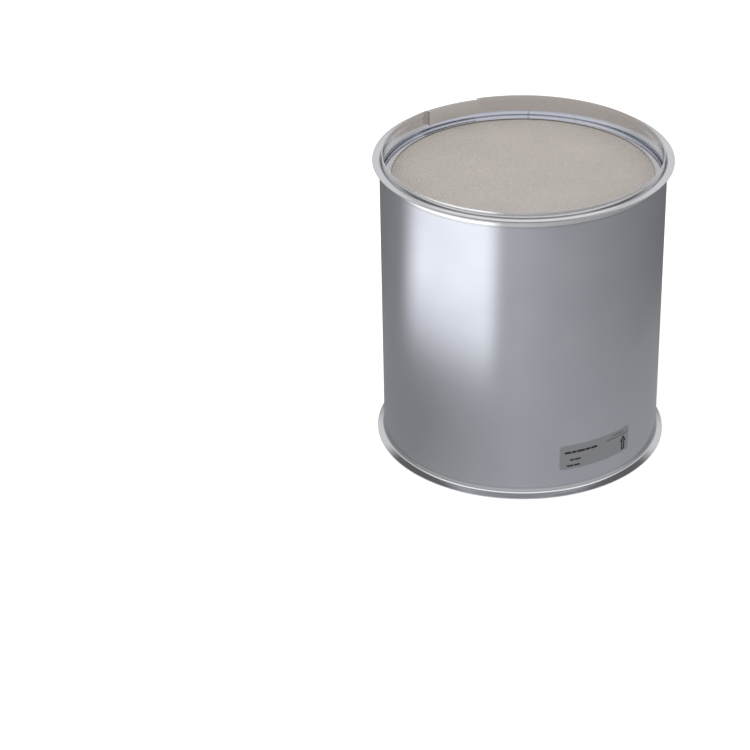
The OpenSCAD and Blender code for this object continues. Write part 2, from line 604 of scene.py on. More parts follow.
def finished(name: str, mesh: bmesh.types.BMesh, sharp: float = 50.0) -> bpy.types.Object:
    """Store a mesh in a new object, smooth but for its hard edges.

    Args:
        name: the new object's name.
        mesh: the mesh, which is freed.
        sharp: the angle past which an edge stays hard, in degrees.

    Returns:
        The new object, linked to the scene.
    """
    data = bpy.data.meshes.new(name)
    mesh.to_mesh(data)
    mesh.free()
    data.shade_smooth()
    data.set_sharp_from_angle(angle=math.radians(sharp))
    piece = bpy.data.objects.new(name, data)
    bpy.context.scene.collection.objects.link(piece)
    return piece


def place_piece(
    piece: bpy.types.Object, finish: Finish, slot: Slot, *nodes: str
) -> bpy.types.Object:
    """Dress a piece, let it ride on the canister, hide the CAD nodes that it replaces and log it.

    Args:
        piece: the piece, in place.
        finish: what it looks like.
        slot: the record's slot that it belongs to; not used.
        nodes: the CAD nodes that it replaces.

    Returns:
        The same piece.
    """
    piece.data.materials.clear()
    piece.data.materials.append(finish.material())
    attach(piece, BODY)
    if nodes:
        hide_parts(*nodes)
    LOG.info("%s: %d faces, %s", piece.name, len(piece.data.polygons), finish.name)
    return piece


def radii(node: str, height: float | None = None) -> tuple[float, float]:
    """Measure how near to and how far from the axis a CAD node's points lie.

    Args:
        node: the node's name.
        height: where given, only the points at this height count.

    Returns:
        The smallest and the largest distance.
    """
    reach = [
        v.co.xy.length
        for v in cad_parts[node].data.vertices
        if height is None or abs(v.co.z - height) < NEAR
    ]
    return min(reach), max(reach)


def direction(node: str) -> float:
    """Return the direction of a small CAD node's middle round the axis, in radians."""
    low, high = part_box(node)
    middle = (low + high) / 2
    return math.atan2(middle.y, middle.x)


# ---------------------------------------------------------------------------
# The canister


@dataclass
class Can:
    """The rolled shell with its seam, its two flanges and their girth welds."""

    flange_edge: float = 1.2 * MM
    flange_slope: float = math.radians(20)
    mouth_r: float = 3.0 * MM
    fillet_r: float = 3.0 * MM
    lip_round: float = 0.3 * MM
    lip_fall: float = 0.5 * MM
    seam_width: float = 2.0 * MM
    weld_proud: float = 0.05 * MM
    weld_over: float = 0.15 * MM

    def __post_init__(self) -> None:
        """Read the can's main sizes from the frame."""
        self.bore_r, self.shell_r = radii("shell")
        self.flange_r = radii("inlet_flange")[1]
        self.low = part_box("inlet_flange")[0].z
        self.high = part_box("outlet_flange")[1].z
        self.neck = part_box("inlet_flange")[1].z - self.low
        self.shell_low, self.shell_high = (corner.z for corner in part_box("shell"))

    def height(self, end: End, depth: float) -> float:
        """Return the height of a plane that lies so deep behind an end's flange face."""
        return self.low + depth if end is End.INLET else self.high - depth

    def outline(self, end: End, corners: Sequence[tuple[float, float, float]]) -> list[Point]:
        """Round an outline that is given by depth, and set it at an end.

        Args:
            end: which end it belongs to.
            corners: radius from the axis, depth and rounding radius of each corner.

        Returns:
            The outline as radius and height.
        """
        return [(r, self.height(end, depth)) for r, depth in rounded(corners)]

    def build(self) -> None:
        """Build the shell, its seam, both flanges and both girth welds."""
        self.sheet()
        for end in End:
            self.flange(end)
            self.girth_weld(end)

    def sheet(self) -> None:
        """Build the rolled sheet and the seam that closes it."""
        seam = direction("shell_seam_weld")
        seam_span = self.seam_width / self.shell_r
        wall = [
            (self.bore_r, self.shell_low),
            (self.shell_r, self.shell_low),
            (self.shell_r, self.shell_high),
            (self.bore_r, self.shell_high),
        ]
        shell = turned_mesh(
            "rolled_shell", wall, seam + seam_span / 2, FULL_TURN - seam_span, WALL_SEGMENTS
        )
        place_piece(shell, SATIN_STAINLESS, Slot.SHELL, "shell")
        # The seam stands a little proud and runs on over the sheet's edges
        strip_span = seam_span + 2 * self.weld_over / self.shell_r
        strip = turned_mesh(
            "shell_seam",
            [(r + self.weld_proud, z) for r, z in wall],
            seam - strip_span / 2,
            strip_span,
            FINE_SEGMENTS,
        )
        place_piece(strip, PLANISHED_WELD, Slot.WELD, "shell_seam_weld")

    def flange(self, end: End) -> None:
        """Build one V-band flange, with the round into its mouth.

        Args:
            end: the end that it closes.
        """
        back = self.flange_edge + (self.flange_r - self.shell_r) * math.tan(self.flange_slope)
        flange = turned_mesh(f"{end.value}_vband_flange", self.outline(end, [
            (self.bore_r, self.neck, 0.0),
            (self.bore_r, 0.0, self.mouth_r),
            (self.bore_r + self.mouth_r + self.lip_round, 0.0, 0.0),
            (self.flange_r, self.lip_fall, self.lip_round),
            (self.flange_r, self.flange_edge, self.lip_round),
            (self.shell_r, back, self.fillet_r),
            (self.shell_r, self.neck, 0.0),
        ]))
        place_piece(flange, FORMED_STAINLESS, Slot.FORMED, f"{end.value}_flange")

    def girth_weld(self, end: End) -> None:
        """Build the weld between a flange and the shell, a little proud of both.

        Args:
            end: the end that the flange closes.
        """
        inner_r, outer_r = self.bore_r - self.weld_proud, self.shell_r + self.weld_proud
        near = self.neck - self.weld_over
        far = self.shell_low - self.low + self.weld_over
        weld = turned_mesh(f"{end.value}_girth_weld", self.outline(end, [
            (inner_r, near, 0.0), (outer_r, near, 0.0), (outer_r, far, 0.0), (inner_r, far, 0.0),
        ]))
        place_piece(weld, PLANISHED_WELD, Slot.WELD, f"{end.value}_flange_weld")


@dataclass
class EndRings:
    """The rings inside the two mouths: retaining rings, pilot ring and index lugs."""

    can: Can
    sheet: float = 0.8 * MM
    bend_r: float = 3.4 * MM
    lip_round: float = 0.35 * MM
    leg_round: float = 0.2 * MM
    joint_width: float = 1.6 * MM
    strip_round: float = 0.4 * MM
    joggle_round: float = 4.0 * MM
    side_inset: float = 0.05 * MM
    lug_round: float = 0.6 * MM

    def build(self) -> None:
        """Build every ring and lug."""
        for end in End:
            self.retaining_ring(end)
        self.pilot_ring()
        self.index_lugs()

    def retaining_ring(self, end: End) -> None:
        """Build one L-section ring and the weld that closes it.

        Args:
            end: the end that it holds.
        """
        node = f"{end.value}_retaining_ring"
        joint_node = f"{end.value}_ring_joint_weld"
        inner_r, outer_r = radii(node)
        low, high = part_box(node)
        face, leg_end = sorted(
            abs(z - self.can.height(end, 0.0)) for z in (low.z, high.z)
        )
        outline = self.can.outline(end, [
            (inner_r, face, self.lip_round),
            (outer_r, face, self.bend_r),
            (outer_r, leg_end, self.leg_round),
            (outer_r - self.sheet, leg_end, self.leg_round),
            (outer_r - self.sheet, face + self.sheet, self.bend_r - self.sheet),
            (inner_r, face + self.sheet, self.lip_round),
        ])
        joint = direction(joint_node)
        span = self.joint_width / outer_r
        ring = turned_mesh(
            f"{end.value}_l_ring", outline, joint + span / 2, FULL_TURN - span
        )
        place_piece(ring, FORMED_STAINLESS, Slot.FORMED, node)
        weld = turned_mesh(f"{end.value}_l_ring_joint", outline, joint - span / 2, span)
        place_piece(weld, PLANISHED_WELD, Slot.WELD, joint_node)

    def pilot_ring(self) -> None:
        """Build the ring that stands out of the outlet, with the pocket pressed into it."""
        node = "outlet_pilot_ring"
        low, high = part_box(node)
        wide_in, wide_out = radii(node, low.z)
        pocket_in, slim_out = radii(node, high.z)
        thickness = wide_out - wide_in
        slim_in = slim_out - thickness
        face = self.can.height(End.OUTLET, 0.0)
        start = face - self.can.mouth_r
        first, span = self.pocket_arc(node, low.z)
        strip = turned_mesh("strip", rounded([
            (wide_in, low.z, self.strip_round),
            (wide_out, low.z, self.strip_round),
            (wide_out, start, self.joggle_round),
            (slim_out, face, self.joggle_round),
            (slim_out, high.z, self.strip_round),
            (slim_in, high.z, self.strip_round),
            (slim_in, face, self.joggle_round),
            (wide_in, start, self.joggle_round),
        ]), first + span, FULL_TURN - span)

        points = [v.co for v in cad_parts[node].data.vertices]
        pocket_low = min(p.z for p in points if p.xy.length < pocket_in + NEAR)
        pocket = turned_mesh("pocket", rounded([
            (pocket_in, pocket_low, self.strip_round),
            (pocket_in + thickness, pocket_low, self.strip_round),
            (pocket_in + thickness, high.z, self.strip_round),
            (pocket_in, high.z, self.strip_round),
        ]), first, span)

        # The sides stay just inside the faces that they meet, so that no visible faces coincide
        small = self.side_inset
        side_span = thickness / slim_out
        sides = [
            turned_mesh("pocket_side", rounded([
                (pocket_in + small, pocket_low + small, 0.0),
                (slim_out - small, pocket_low + small, 0.0),
                (slim_out - small, high.z - small, self.strip_round),
                (pocket_in + small, high.z - small, 0.0),
            ]), side_start, side_span, FINE_SEGMENTS)
            for side_start in (first, first + span - side_span)
        ]
        ring = joined("pilot_ring", [strip, pocket, *sides])
        place_piece(ring, STRIP_STAINLESS, Slot.FORMED, node)

    def pocket_arc(self, node: str, height: float) -> Point:
        """Find the stretch that the strip's lower edge leaves out for the pocket.

        Args:
            node: the ring's CAD node.
            height: the height of the strip's lower edge.

        Returns:
            The direction where the stretch starts, and the angle that it spans.
        """
        angles = sorted(
            math.atan2(v.co.y, v.co.x) % FULL_TURN
            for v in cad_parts[node].data.vertices
            if v.co.z < height + NEAR
        )
        span, first = max((b - a, a) for a, b in zip(angles, angles[1:]))
        return first, span

    def index_lugs(self) -> None:
        """Build the two blocks on the inlet's wall as one piece."""
        node = "inlet_index_lugs"
        inner_r, outer_r = radii(node)
        low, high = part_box(node)
        points = [v.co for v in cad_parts[node].data.vertices]
        first = [math.atan2(p.y, p.x) for p in points if p.x > 0]
        lugs = []
        for turn in (0.0, math.pi):
            lugs.append(turned_mesh("lug", rounded([
                (inner_r, low.z, self.lug_round),
                (outer_r, low.z, 0.0),
                (outer_r, high.z, 0.0),
                (inner_r, high.z, self.lug_round),
            ]), min(first) + turn, max(first) - min(first), FINE_SEGMENTS // 2))
        place_piece(joined("index_lugs", lugs), FORMED_STAINLESS, Slot.FORMED, node)


def joined(name: str, parts: Sequence[bpy.types.Object]) -> bpy.types.Object:
    """Join pieces of one kind into one object.

    Args:
        name: the new object's name.
        parts: the objects to join, which are removed.

    Returns:
        The joined object, at the origin.
    """
    mesh = bmesh.new()
    for part in parts:
        mesh.from_mesh(part.data)
        bpy.data.objects.remove(part)
    return finished(name, mesh)


@dataclass
class Filter:
    """The ceramic: its two faces with their channels, and what the can hides."""

    can: Can
    # Two hundred channels to the square inch, a common count, but only their mouths are cut
    pitch: float = 1.8 * MM
    wall: float = 0.3 * MM
    channel_depth: float = 0.5 * MM
    grid_turn: float = math.radians(27)

    def build(self) -> None:
        """Build both faces, then dress the hidden pieces."""
        tree = self.face_tree()
        for end in End:
            self.face(end, tree)
        for node, finish in (
            ("filter_core", CORDIERITE),
            ("filter_skin", CEMENT_SKIN),
            ("support_mat", FIBRE_MAT),
            ("inlet_mesh_seal", WIRE),
            ("outlet_mesh_seal", WIRE),
        ):
            dress_node(node, finish)

    def face_tree(self) -> bpy.types.NodeTree:
        """Make the tree that lays open and plugged channels like a chessboard.

        Returns:
            A node group with the channels' sizes and their material as inputs.
        """
        tree = bpy.data.node_groups.new("channel_face", "GeometryNodeTree")
        tree.is_modifier = True
        for name, kind in (
            ("Pitch", "NodeSocketFloat"),
            ("Wall", "NodeSocketFloat"),
            ("Depth", "NodeSocketFloat"),
            ("Radius", "NodeSocketFloat"),
            ("Across", "NodeSocketInt"),
            ("Material", "NodeSocketMaterial"),
        ):
            tree.interface.new_socket(name, in_out="INPUT", socket_type=kind)
        tree.interface.new_socket("Geometry", in_out="OUTPUT", socket_type="NodeSocketGeometry")
        given = add_node(tree, "NodeGroupInput").outputs
        result = add_node(tree, "NodeGroupOutput")

        channel, plug = self.cell_shapes(tree, given)
        centres, inside = self.cell_centres(tree, given)

        # The chessboard's two colours follow from the point's own number
        number = add_node(tree, "GeometryNodeInputIndex")
        colour = add_node(
            tree, "ShaderNodeMath", {0: number.outputs[0], 1: 2.0}, operation="MODULO"
        )
        odd = add_node(
            tree,
            "FunctionNodeCompare",
            {0: colour.outputs[0], 1: 0.5},
            data_type="FLOAT",
            operation="GREATER_THAN",
        )
        laid = []
        for gate, shape in (("AND", channel), ("NIMPLY", plug)):
            chosen = add_node(
                tree,
                "FunctionNodeBooleanMath",
                {0: inside, 1: odd.outputs[0]},
                operation=gate,
            )
            cells = add_node(
                tree,
                "GeometryNodeInstanceOnPoints",
                {
                    "Points": centres,
                    "Selection": chosen.outputs[0],
                    "Instance": shape,
                },
            )
            laid.append(cells.outputs[0])
        both = add_node(tree, "GeometryNodeJoinGeometry", {0: laid[0]})
        tree.links.new(laid[1], both.inputs[0])
        real = add_node(tree, "GeometryNodeRealizeInstances", {0: both.outputs[0]})
        welded = add_node(
            tree, "GeometryNodeMergeByDistance", {"Geometry": real.outputs[0], "Distance": 0.01 * MM}
        )
        dressed = add_node(
            tree,
            "GeometryNodeSetMaterial",
            {"Geometry": welded.outputs[0], "Material": given["Material"]},
        )
        tree.links.new(dressed.outputs[0], result.inputs[0])
        return tree

    def cell_shapes(
        self, tree: bpy.types.NodeTree, given: bpy.types.NodeOutputs
    ) -> tuple[bpy.types.NodeSocket, bpy.types.NodeSocket]:
        """Make one cell with a tapered channel sunk into it, and the same cell plugged.

        Args:
            tree: the tree that gets the nodes.
            given: the group's inputs.

        Returns:
            The sockets of the open cell and of the plugged one.
        """
        plug = add_node(
            tree,
            "GeometryNodeMeshGrid",
            {"Size X": given["Pitch"], "Size Y": given["Pitch"], "Vertices X": 2, "Vertices Y": 2},
        )
        rim = add_node(
            tree,
            "GeometryNodeExtrudeMesh",
            {"Mesh": plug.outputs["Mesh"], "Offset Scale": 0.0},
            mode="FACES",
        )
        opening = add_node(
            tree, "ShaderNodeMath", {0: given["Wall"], 1: given["Pitch"]}, operation="DIVIDE"
        )
        share = add_node(tree, "ShaderNodeMath", {0: 1.0, 1: opening.outputs[0]}, operation="SUBTRACT")
        mouth = add_node(
            tree,
            "GeometryNodeScaleElements",
            {
                "Geometry": rim.outputs["Mesh"],
                "Selection": rim.outputs["Top"],
                "Scale": share.outputs[0],
            },
        )
        down = add_node(
            tree, "ShaderNodeMath", {0: given["Depth"], 1: -1.0}, operation="MULTIPLY"
        )
        sunk = add_node(
            tree,
            "GeometryNodeExtrudeMesh",
            {
                "Mesh": mouth.outputs[0],
                "Selection": rim.outputs["Top"],
                "Offset Scale": down.outputs[0],
            },
            mode="FACES",
        )
        tip = add_node(
            tree,
            "GeometryNodeScaleElements",
            {"Geometry": sunk.outputs["Mesh"], "Selection": sunk.outputs["Top"], "Scale": 0.001},
        )
        channel = add_node(
            tree, "GeometryNodeMergeByDistance", {"Geometry": tip.outputs[0], "Distance": 0.02 * MM}
        )
        return channel.outputs[0], plug.outputs["Mesh"]

    def cell_centres(
        self, tree: bpy.types.NodeTree, given: bpy.types.NodeOutputs
    ) -> tuple[bpy.types.NodeSocket, bpy.types.NodeSocket]:
        """Lay out the cells' centres, and find those whose cell lies whole inside the face.

        Args:
            tree: the tree that gets the nodes.
            given: the group's inputs.

        Returns:
            The sockets of the points and of the test.
        """
        last = add_node(tree, "ShaderNodeMath", {0: given["Across"], 1: 1.0}, operation="SUBTRACT")
        width = add_node(
            tree, "ShaderNodeMath", {0: last.outputs[0], 1: given["Pitch"]}, operation="MULTIPLY"
        )
        centres = add_node(
            tree,
            "GeometryNodeMeshGrid",
            {
                "Size X": width.outputs[0],
                "Size Y": width.outputs[0],
                "Vertices X": given["Across"],
                "Vertices Y": given["Across"],
            },
        )
        place = add_node(tree, "GeometryNodeInputPosition")
        reach = add_node(
            tree, "ShaderNodeVectorMath", {0: place.outputs[0]}, operation="LENGTH"
        )
        corner = add_node(
            tree,
            "ShaderNodeMath",
            {0: given["Pitch"], 1: math.sqrt(0.5), 2: reach.outputs["Value"]},
            operation="MULTIPLY_ADD",
        )
        inside = add_node(
            tree,
            "FunctionNodeCompare",
            {0: corner.outputs[0], 1: given["Radius"]},
            data_type="FLOAT",
            operation="LESS_THAN",
        )
        return centres.outputs["Mesh"], inside.outputs[0]

    def face(self, end: End, tree: bpy.types.NodeTree) -> None:
        """Build one end of the ceramic as a closed plate with channels in its face.

        Args:
            end: the end that the face belongs to.
            tree: the node group that lays the channels.
        """
        node = f"{end.value}_plugs"
        radius = radii(node)[1]
        low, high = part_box(node)
        # An odd number of rows lets the point's own number give the chessboard's colour
        across = 2 * math.ceil(radius / self.pitch) + 1
        piece = bpy.data.objects.new(f"{end.value}_channel_face", bpy.data.meshes.new("cells"))
        bpy.context.scene.collection.objects.link(piece)
        modifier = piece.modifiers.new("channels", "NODES")
        modifier.node_group = tree
        values = {
            "Pitch": self.pitch,
            "Wall": self.wall,
            "Depth": self.channel_depth,
            "Radius": radius,
            "Across": across,
            "Material": CORDIERITE.material(),
        }
        for item in tree.interface.items_tree:
            if item.in_out == "INPUT":
                modifier[item.identifier] = values[item.name]
        convert_to_mesh(piece)

        mesh = bmesh.new()
        mesh.from_mesh(piece.data)
        rim = [edge for edge in mesh.edges if edge.is_boundary]
        skirt = bmesh.ops.extrude_edge_only(mesh, edges=rim)["geom"]
        below = [g for g in skirt if isinstance(g, bmesh.types.BMVert)]
        bmesh.ops.translate(mesh, verts=below, vec=(0, 0, low.z - high.z))
        foot = [g for g in skirt if isinstance(g, bmesh.types.BMEdge) and g.is_boundary]
        bmesh.ops.edgeloop_fill(mesh, edges=foot)
        bmesh.ops.recalc_face_normals(mesh, faces=mesh.faces[:])
        mesh.to_mesh(piece.data)
        mesh.free()
        turn = Matrix.Identity(4) if end is End.OUTLET else Matrix.Rotation(math.pi, 4, "X")
        top = high.z if end is End.OUTLET else low.z
        grid = Matrix.Rotation(self.grid_turn, 4, "Z")
        piece.data.transform(Matrix.Translation((0, 0, top)) @ grid @ turn)
        place_piece(piece, CORDIERITE, Slot.CERAMIC, node)


def convert_to_mesh(piece: bpy.types.Object) -> None:
    """Turn what a piece's modifiers make into its own plain mesh, and remove them."""
    graph = bpy.context.evaluated_depsgraph_get()
    data = bpy.data.meshes.new_from_object(piece.evaluated_get(graph))
    piece.modifiers.clear()
    piece.data = data


def dress_node(node: str, finish: Finish) -> None:
    """Give a CAD node that keeps its own mesh a finish."""
    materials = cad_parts[node].data.materials
    materials.clear()
    materials.append(finish.material())
    LOG.info("%s: kept, %s", node, finish.name)


@dataclass
class Label:
    """The foil plate near the inlet, with plain printed bars and a flow arrow."""

    can: Can
    corner: float = 3.0 * MM
    ink: float = 0.03 * MM
    dash_space: float = 0.9 * MM
    arrow_line: float = 2.1 * MM

    def __post_init__(self) -> None:
        """Read the plate's place and size from the frame."""
        self.foil_r = radii("id_label")[1]
        low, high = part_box("id_label")
        self.middle_z = (low.z + high.z) / 2
        self.height = high.z - low.z
        angles = [
            math.atan2(v.co.y, v.co.x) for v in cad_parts["id_label"].data.vertices
        ]
        self.middle = (min(angles) + max(angles)) / 2
        self.width = (max(angles) - min(angles)) * self.can.shell_r

    def wrap(self, x: float, y: float, r: float) -> Vector:
        """Lay a flat point of the plate on the can.

        Args:
            x: distance to the right of the plate's middle.
            y: distance above the plate's middle.
            r: distance from the can's axis.

        Returns:
            The point in the canister's frame.
        """
        angle = self.middle + x / self.can.shell_r
        return Vector((r * math.cos(angle), r * math.sin(angle), self.middle_z + y))

    def strip(
        self,
        mesh: bmesh.types.BMesh,
        stations: Sequence[tuple[float, float, float]],
        low_r: float,
        high_r: float,
    ) -> None:
        """Add a closed patch that follows the can.

        Args:
            mesh: the mesh that gets the patch.
            stations: for each place along the patch, its x and its lower and upper y.
            low_r: distance of the patch's back from the axis.
            high_r: distance of its front from the axis.
        """
        rows = [
            [
                mesh.verts.new(self.wrap(x, y, r))
                for y, r in ((y0, low_r), (y0, high_r), (y1, high_r), (y1, low_r))
            ]
            for x, y0, y1 in stations
        ]
        for a, b in zip(rows, rows[1:]):
            for i in range(4):
                k = (i + 1) % 4
                mesh.faces.new((a[i], b[i], b[k], a[k]))
        mesh.faces.new(rows[0])
        mesh.faces.new(rows[-1][::-1])

    def bar(
        self, mesh: bmesh.types.BMesh, x: float, y: float, width: float, height: float
    ) -> None:
        """Add one printed bar.

        Args:
            mesh: the mesh of the print.
            x: left end of the bar.
            y: middle height of the bar.
            width: its length.
            height: its height.
        """
        steps = max(1, round(width / (2 * MM)))
        stations = [
            (x + width * i / steps, y - height / 2, y + height / 2) for i in range(steps + 1)
        ]
        self.strip(mesh, stations, self.foil_r - self.ink, self.foil_r + self.ink)

    def dashes(
        self, mesh: bmesh.types.BMesh, x: float, y: float, height: float, lengths: Sequence[float]
    ) -> None:
        """Add a row of bars that stands for a printed line.

        Args:
            mesh: the mesh of the print.
            x: left end of the row.
            y: middle height of the row.
            height: height of the bars.
            lengths: length of each bar, in millimetres.
        """
        for length in lengths:
            self.bar(mesh, x, y, length * MM, height)
            x += length * MM + self.dash_space

    def arrow(self, mesh: bmesh.types.BMesh, x: float, y: float, width: float, height: float) -> None:
        """Add the outlined arrow that shows which way the gas flows.

        Args:
            mesh: the mesh of the print.
            x: the arrow's middle.
            y: the height of its foot.
            width: its width over the head.
            height: its length.
        """
        stem, neck = width * 0.54, height * 0.56
        outer = [
            (0.0, height), (-width / 2, neck), (-stem / 2, neck), (-stem / 2, 0.0),
            (stem / 2, 0.0), (stem / 2, neck), (width / 2, neck),
        ]
        inner = inset(outer, self.arrow_line)
        back, front = self.foil_r - self.ink, self.foil_r + self.ink
        loops = [
            [mesh.verts.new(self.wrap(x + px, y + py, r)) for px, py in shape]
            for shape, r in ((outer, front), (inner, front), (inner, back), (outer, back))
        ]
        for a, b in zip(loops, [*loops[1:], loops[0]]):
            for i in range(len(outer)):
                k = (i + 1) % len(outer)
                mesh.faces.new((a[i], a[k], b[k], b[i]))

    def build(self) -> None:
        """Build the foil and everything printed on it."""
        foil = bmesh.new()
        half_w, half_h = self.width / 2, self.height / 2
        places = [half_w - self.corner * (1 - math.sin(math.pi / 2 * i / 8)) for i in range(9)]
        flat = [half_w - self.corner - i * 2 * (half_w - self.corner) / 40 for i in range(1, 40)]
        stations = []
        for x in sorted([*places, *flat, *(-p for p in places)]):
            into = max(0.0, abs(x) - (half_w - self.corner))
            drop = self.corner - math.sqrt(max(0.0, self.corner**2 - into**2))
            stations.append((x, -half_h + drop, half_h - drop))
        self.strip(foil, stations, self.can.shell_r, self.foil_r)
        place_piece(finished("label_plate", foil, 40), LABEL_FOIL, Slot.FOIL, "id_label")

        ink = bmesh.new()
        w, h = self.width, self.height
        self.dashes(ink, -0.44 * w, 0.2 * h, 2.8 * MM, (8, 5, 10, 6, 8))
        self.dashes(ink, -0.37 * w, -0.12 * h, 2.2 * MM, (5, 7))
        self.dashes(ink, -0.41 * w, -0.36 * h, 2.2 * MM, (8, 7))
        self.dashes(ink, 0.23 * w, 0.37 * h, 1.0 * MM, (4, 3, 4, 3))
        self.dashes(ink, 0.13 * w, 0.25 * h, 0.9 * MM, (5, 7, 4, 6, 5, 3))
        self.arrow(ink, 0.405 * w, -0.42 * h, 10 * MM, 19 * MM)
        bmesh.ops.recalc_face_normals(ink, faces=ink.faces[:])
        place_piece(finished("label_print", ink, 40), LABEL_INK, Slot.FOIL)


def inset(outline: Sequence[Point], distance: float) -> list[Point]:
    """Move every side of a closed outline inwards by the same distance.

    Args:
        outline: the corners, anticlockwise.
        distance: how far the sides move.

    Returns:
        The corners of the smaller outline.
    """
    moved = []
    count = len(outline)
    for i in range(count):
        here = Vector(outline[i])
        before = (here - Vector(outline[i - 1])).normalized()
        after = (Vector(outline[(i + 1) % count]) - here).normalized()
        normals = [Vector((-side.y, side.x)) for side in (before, after)]
        middle = (normals[0] + normals[1]).normalized()
        reach = distance / max(0.2, middle.dot(normals[0]))
        moved.append((here.x + middle.x * reach, here.y + middle.y * reach))
    return moved


# ---------------------------------------------------------------------------
# The studio


@dataclass
class Studio:
    """Floor, soft lights, what the steel mirrors, and the camera.

    The steel mirrors a room of its own: a grey card that lies on the floor and soft boxes past
    it, which only mirrored rays see. Directions are in degrees from the front, to the right.
    """

    camera_place: tuple[float, float, float] = (0.0057, -2.3150, 1.4036)
    pitch: float = 30.0285
    yaw: float = 4.3534
    roll: float = -1.3419
    lens: float = 109.24
    floor_size: float = 7.0
    floor_glow: float = 0.35
    # The floor lies just under the canister, and the card just under the floor
    floor_drop: float = 0.2 * MM
    card_drop: float = 0.4 * MM
    card_radius: float = 1.3
    lamp_place: tuple[float, float, float] = (-0.9, -1.3, 2.2)
    lamp_size: float = 1.4
    lamp_power: float = 12.0
    # Tone of the card by direction, close to the can and further out
    near_tones: tuple[Point, ...] = (
        (-180, 0.34), (-168, 0.24), (-120, 0.29), (-60, 0.31), (-15, 0.45), (0, 0.49), (60, 0.42),
        (120, 0.335), (150, 0.25), (168, 0.22), (180, 0.34),
    )
    far_tones: tuple[Point, ...] = (
        (-180, 0.36), (-166, 0.20), (-140, 0.22), (-105, 0.30), (-15, 0.57), (0, 0.58),
        (20, 0.495), (60, 0.375), (100, 0.29), (140, 0.20), (166, 0.19), (180, 0.36),
    )
    tone_change: Point = (0.25, 0.6)
    # The soft box that the card shows: its two sides, and where it begins
    pool_left: Point = (-104, -76)
    pool_right: Point = (-25, -12)
    pool_start: Point = (0.36, 0.62)
    pool_level: float = 0.95
    # The room past the card, by height above the horizon, in front and behind, and where the
    # one passes into the other
    side_blend: Point = (70, 115)
    front_room: tuple[Point, ...] = (
        (-90, 0.3), (-18, 0.08), (8, 0.08), (16, 0.8), (24, 1.05), (62, 1.05), (72, 0.3),
        (90, 0.25),
    )
    back_room: tuple[Point, ...] = (
        (-90, 0.3), (-12, 0.4), (0, 0.25), (10, 0.25), (20, 0.71), (33, 0.71), (41, 0.12),
        (60, 0.13), (90, 0.2),
    )

    def build(self) -> None:
        """Set up everything that isn't the canister."""
        self.floor()
        self.card()
        self.room()
        self.lamp()
        self.camera()
        view = bpy.context.scene.view_settings
        view.view_transform = "Standard"
        view.look = "None"

    def floor(self) -> None:
        """Lay a plain white floor, lit a little from below so that its shadow stays faint."""
        mesh = bmesh.new()
        bmesh.ops.create_grid(mesh, x_segments=1, y_segments=1, size=self.floor_size)
        floor = finished("studio_floor", mesh)
        floor.location.z = CAD_BOX[0][2] - self.floor_drop
        floor.visible_glossy = False
        paper = bpy.data.materials.new("studio_paper")
        paper.use_nodes = True
        shader = paper.node_tree.nodes["Principled BSDF"]
        shader.inputs["Base Color"].default_value = linear("#f4f4f4")
        shader.inputs["Roughness"].default_value = 1.0
        shader.inputs["Emission Color"].default_value = linear("#ffffff")
        shader.inputs["Emission Strength"].default_value = self.floor_glow
        floor.data.materials.append(paper)

    def card(self) -> None:
        """Lay the card on the floor, where only mirrored rays see it."""
        mesh = bmesh.new()
        bmesh.ops.create_circle(mesh, cap_ends=True, segments=96, radius=self.card_radius)
        card = finished("studio_mirror_card", mesh)
        card.location.z = CAD_BOX[0][2] - self.card_drop
        for kind in ("camera", "diffuse", "transmission", "volume_scatter", "shadow"):
            setattr(card, f"visible_{kind}", False)
        board = bpy.data.materials.new("studio_board")
        board.use_nodes = True
        tree = board.node_tree
        tree.nodes.clear()
        place = add_node(tree, "ShaderNodeTexCoord").outputs["Object"]
        heading = self.heading(tree, place)
        away = add_node(tree, "ShaderNodeVectorMath", {0: place}, operation="LENGTH")
        distance = away.outputs["Value"]
        tone = add_node(
            tree,
            "ShaderNodeMix",
            {
                0: self.rise(tree, distance, *self.tone_change),
                2: level_ramp(tree, heading, self.near_tones),
                3: level_ramp(tree, heading, self.far_tones),
            },
        )
        sides = [
            self.rise(tree, heading, *self.pool_left),
            self.rise(tree, heading, *reversed(self.pool_right)),
            self.rise(tree, distance, *self.pool_start),
        ]
        pool = add_node(tree, "ShaderNodeMath", {0: sides[0], 1: sides[1]}, operation="MULTIPLY")
        pool = add_node(
            tree, "ShaderNodeMath", {0: pool.outputs[0], 1: sides[2]}, operation="MULTIPLY"
        )
        power = add_node(
            tree,
            "ShaderNodeMath",
            {0: pool.outputs[0], 1: self.pool_level, 2: tone.outputs[0]},
            operation="MULTIPLY_ADD",
        )
        glow = add_node(
            tree, "ShaderNodeEmission", {"Color": linear("#fdfdff"), "Strength": power.outputs[0]}
        )
        add_node(tree, "ShaderNodeOutputMaterial", {"Surface": glow.outputs[0]})
        card.data.materials.append(board)

    def heading(
        self, tree: bpy.types.NodeTree, place: bpy.types.NodeSocket
    ) -> bpy.types.NodeSocket:
        """Turn a position or a ray into its direction from the front, in degrees.

        Args:
            tree: the tree that gets the nodes.
            place: the position or the ray.

        Returns:
            The direction's socket.
        """
        parts = add_node(tree, "ShaderNodeSeparateXYZ", {0: place}).outputs
        front = add_node(tree, "ShaderNodeMath", {0: parts["Y"], 1: -1.0}, operation="MULTIPLY")
        turn = add_node(
            tree, "ShaderNodeMath", {0: parts["X"], 1: front.outputs[0]}, operation="ARCTAN2"
        )
        return add_node(tree, "ShaderNodeMath", {0: turn.outputs[0]}, operation="DEGREES").outputs[0]

